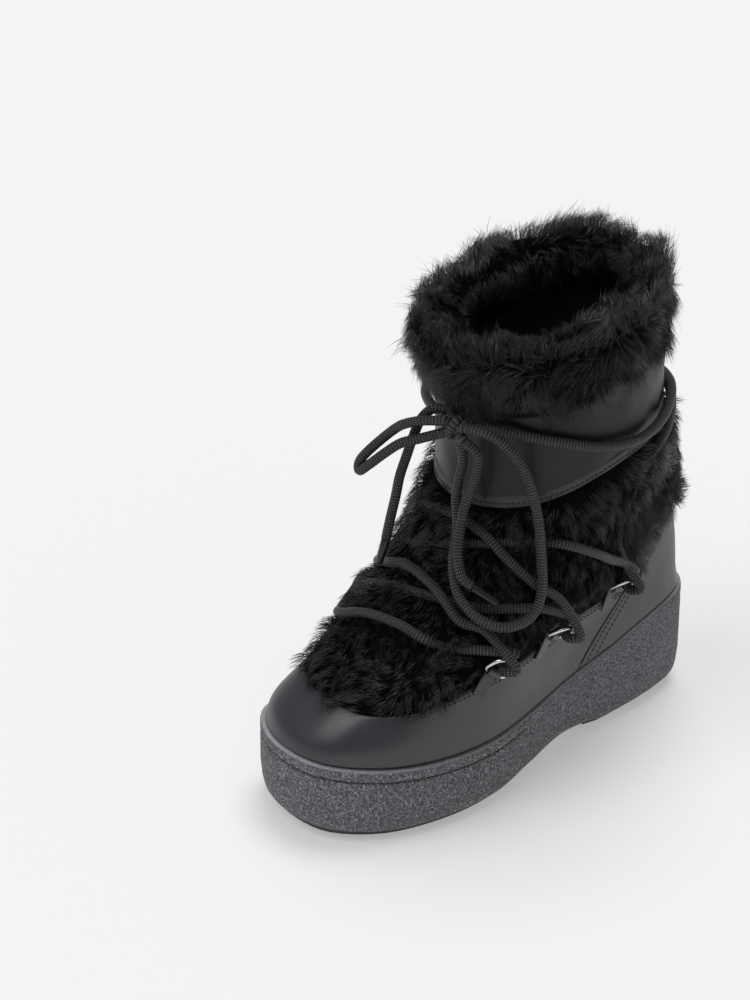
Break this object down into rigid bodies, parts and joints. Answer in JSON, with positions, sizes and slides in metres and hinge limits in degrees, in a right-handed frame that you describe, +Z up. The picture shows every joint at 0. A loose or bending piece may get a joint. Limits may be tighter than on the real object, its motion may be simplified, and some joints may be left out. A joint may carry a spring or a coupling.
{
  "type": "apres-ski boot, right foot",
  "caption": "Ankle-high winter boot with black fur upper, coated ankle band, rubberised leather rand, laced wire rings and a thick foam cup sole.",
  "frame": {"origin": "middle of the boot's footprint box, on the floor", "axes": "+Z up, -Y towards the toe, +X towards the inner side of the foot"},
  "size_m": [0.1423, 0.2788, 0.2825],
  "materials": {
    "sole_foam": "grey moulded foam rubber with a fine crepe texture",
    "tread_rubber": "darker solid rubber, matt",
    "lining": "dark grey felt",
    "upper_shell": "dark fabric shell under the fur",
    "rand_leather": "charcoal rubberised leather, matt with a soft sheen",
    "black_fur": "long black faux fur",
    "coated_band": "smooth coated charcoal leather",
    "ring_metal": "polished silver wire",
    "lace_cord": "round braided black cord",
    "aglet_plastic": "black plastic tip"
  },
  "bodies": {
    "root": {"cup_sole": "sole_foam", "tread_forefoot": "tread_rubber", "tread_heel": "tread_rubber", "insole": "lining", "upper": "upper_shell", "rand": "rand_leather", "heel_counter": "rand_leather", "vamp_fur": "black_fur", "quarter_fur": "black_fur", "ankle_band": "coated_band", "collar_fur": "black_fur", "ring_medial_1": "ring_metal", "ring_medial_2": "ring_metal", "ring_medial_3": "ring_metal", "ring_lateral_1": "ring_metal", "ring_lateral_2": "ring_metal", "ring_lateral_3": "ring_metal", "tab_medial_1": "rand_leather", "tab_medial_2": "rand_leather", "tab_medial_3": "rand_leather", "tab_lateral_1": "rand_leather", "tab_lateral_2": "rand_leather", "tab_lateral_3": "rand_leather", "lace_crossings": "lace_cord", "lace_knot": "lace_cord", "lace_loop_short": "lace_cord", "lace_loop_long": "lace_cord", "lace_end_front": "lace_cord", "lace_end_side": "lace_cord", "aglet_front": "aglet_plastic", "aglet_side": "aglet_plastic"}
  },
  "joints": []
}
